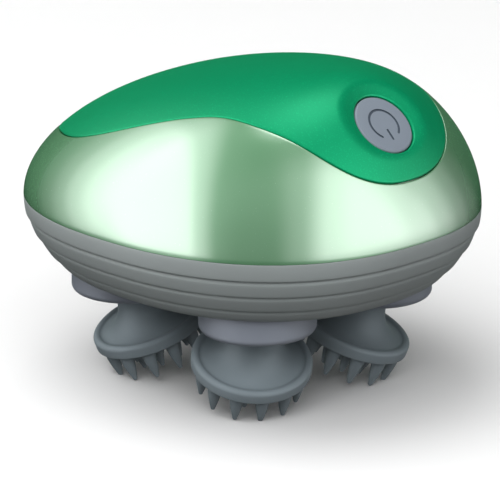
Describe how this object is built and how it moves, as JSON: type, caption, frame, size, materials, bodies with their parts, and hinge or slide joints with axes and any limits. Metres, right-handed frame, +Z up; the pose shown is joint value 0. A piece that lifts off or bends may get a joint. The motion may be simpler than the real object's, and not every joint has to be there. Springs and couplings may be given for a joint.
{
  "type": "electric scalp massager",
  "caption": "Cordless egg-shaped scalp massager: a domed hand grip with a coloured inlay and power button over turning, tilted silicone claws driven by a gear train.",
  "frame": {"origin": "below the middle of the body, at the height of the lowest bristle tips", "axes": "+X along the body towards the blunt nose with the button, +Y across it, +Z up out of the crown"},
  "size_m": [0.124, 0.112, 0.0928],
  "materials": {
    "shell_green": "smooth light green coating with a metallic sheen",
    "inlay_green": "fine-grained satin green",
    "base_grey": "satin mid grey",
    "button_grey": "satin blue-grey",
    "turntable_grey": "satin bluish grey",
    "claw_silicone": "smooth grey-blue silicone",
    "plug_grey": "matte dark grey silicone",
    "seal_black": "matte black",
    "dark_plastic": "matte near-black",
    "white_plastic": "moulded off-white",
    "gear_nylon": "natural moulded gear plastic",
    "board_green": "circuit board green",
    "steel": "bright steel",
    "motor_steel": "plated steel can",
    "copper": "enamelled copper windings",
    "brass_gear": "machined brass",
    "bush_brass": "sintered bronze",
    "cell_blue": "blue heat-shrink sleeve"
  },
  "bodies": {
    "housing": {"top_shell": "shell_green", "top_inlay": "inlay_green", "base_shell": "base_grey", "seam_gasket": "seal_black", "button_boot": "seal_black", "power_switch": "dark_plastic", "main_board": "board_green", "board_screws": "steel", "gear_chassis": "white_plastic", "chassis_screws": "steel", "case_screws": "steel", "motor_can": "motor_steel", "motor_end_cap": "white_plastic", "motor_screws": "steel", "reduction_axle": "steel", "sun_axle": "steel", "battery_cell": "cell_blue", "battery_strap": "dark_plastic", "charge_board": "board_green", "charge_socket": "steel", "shaft_bushes": "bush_brass", "shaft_seals": "seal_black"},
    "power_button": {"power_button": "button_grey"},
    "port_plug": {"port_plug": "plug_grey"},
    "motor_rotor": {"motor_armature": "copper", "motor_pinion": "brass_gear"},
    "reduction": {"reduction_gear": "gear_nylon"},
    "sun": {"sun_wheel": "gear_nylon"},
    "massage_head_nose_left": {"turntable_nose_left": "turntable_grey", "claw_nose_left": "claw_silicone", "claw_core_nose_left": "white_plastic", "output_shaft_nose_left": "steel", "output_gear_nose_left": "gear_nylon"},
    "massage_head_nose_right": {"turntable_nose_right": "turntable_grey", "claw_nose_right": "claw_silicone", "claw_core_nose_right": "white_plastic", "output_shaft_nose_right": "steel", "output_gear_nose_right": "gear_nylon"},
    "massage_head_tail_left": {"turntable_tail_left": "turntable_grey", "claw_tail_left": "claw_silicone", "claw_core_tail_left": "white_plastic", "output_shaft_tail_left": "steel", "output_gear_tail_left": "gear_nylon"},
    "massage_head_tail_right": {"turntable_tail_right": "turntable_grey", "claw_tail_right": "claw_silicone", "claw_core_tail_right": "white_plastic", "output_shaft_tail_right": "steel", "output_gear_tail_right": "gear_nylon"}
  },
  "joints": [
    {"name": "head_nose_left_spin", "type": "hinge", "parent": "housing", "child": "massage_head_nose_left", "pos_m": [0.025, 0.0223, 0.03], "axis": [0, 0, 1], "continuous": true},
    {"name": "head_nose_right_spin", "type": "hinge", "parent": "housing", "child": "massage_head_nose_right", "pos_m": [0.025, -0.0223, 0.03], "axis": [0, 0, 1], "continuous": true},
    {"name": "head_tail_left_spin", "type": "hinge", "parent": "housing", "child": "massage_head_tail_left", "pos_m": [-0.025, 0.0223, 0.03], "axis": [0, 0, 1], "continuous": true},
    {"name": "head_tail_right_spin", "type": "hinge", "parent": "housing", "child": "massage_head_tail_right", "pos_m": [-0.025, -0.0223, 0.03], "axis": [0, 0, 1], "continuous": true},
    {"name": "sun_spin", "type": "hinge", "parent": "housing", "child": "sun", "pos_m": [0, 0, 0.042], "axis": [0, 0, 1], "continuous": true},
    {"name": "reduction_spin", "type": "hinge", "parent": "housing", "child": "reduction", "pos_m": [0, -0.0216, 0.048], "axis": [0, 0, 1], "continuous": true},
    {"name": "motor_spin", "type": "hinge", "parent": "housing", "child": "motor_rotor", "pos_m": [0.01624, -0.00646, 0.06], "axis": [0, 0, 1], "continuous": true},
    {"name": "power_button_press", "type": "slide", "parent": "housing", "child": "power_button", "axis": [-0.6947, 0, -0.7193], "range_m": [0, 0.0005], "stiffness_N_per_m": 2000, "springref_m": -0.0005},
    {"name": "port_plug_pull", "type": "slide", "parent": "housing", "child": "port_plug", "axis": [-1, 0, 0], "range_m": [0, 0.006]}
  ],
  "couplings": [
    {"joint": "head_nose_left_spin", "follows": "head_nose_right_spin", "ratio": 1},
    {"joint": "head_tail_left_spin", "follows": "head_nose_right_spin", "ratio": 1},
    {"joint": "head_tail_right_spin", "follows": "head_nose_right_spin", "ratio": 1},
    {"joint": "sun_spin", "follows": "head_nose_right_spin", "ratio": -1.1613},
    {"joint": "reduction_spin", "follows": "head_nose_right_spin", "ratio": 4.0645},
    {"joint": "motor_spin", "follows": "head_nose_right_spin", "ratio": -21}
  ]
}
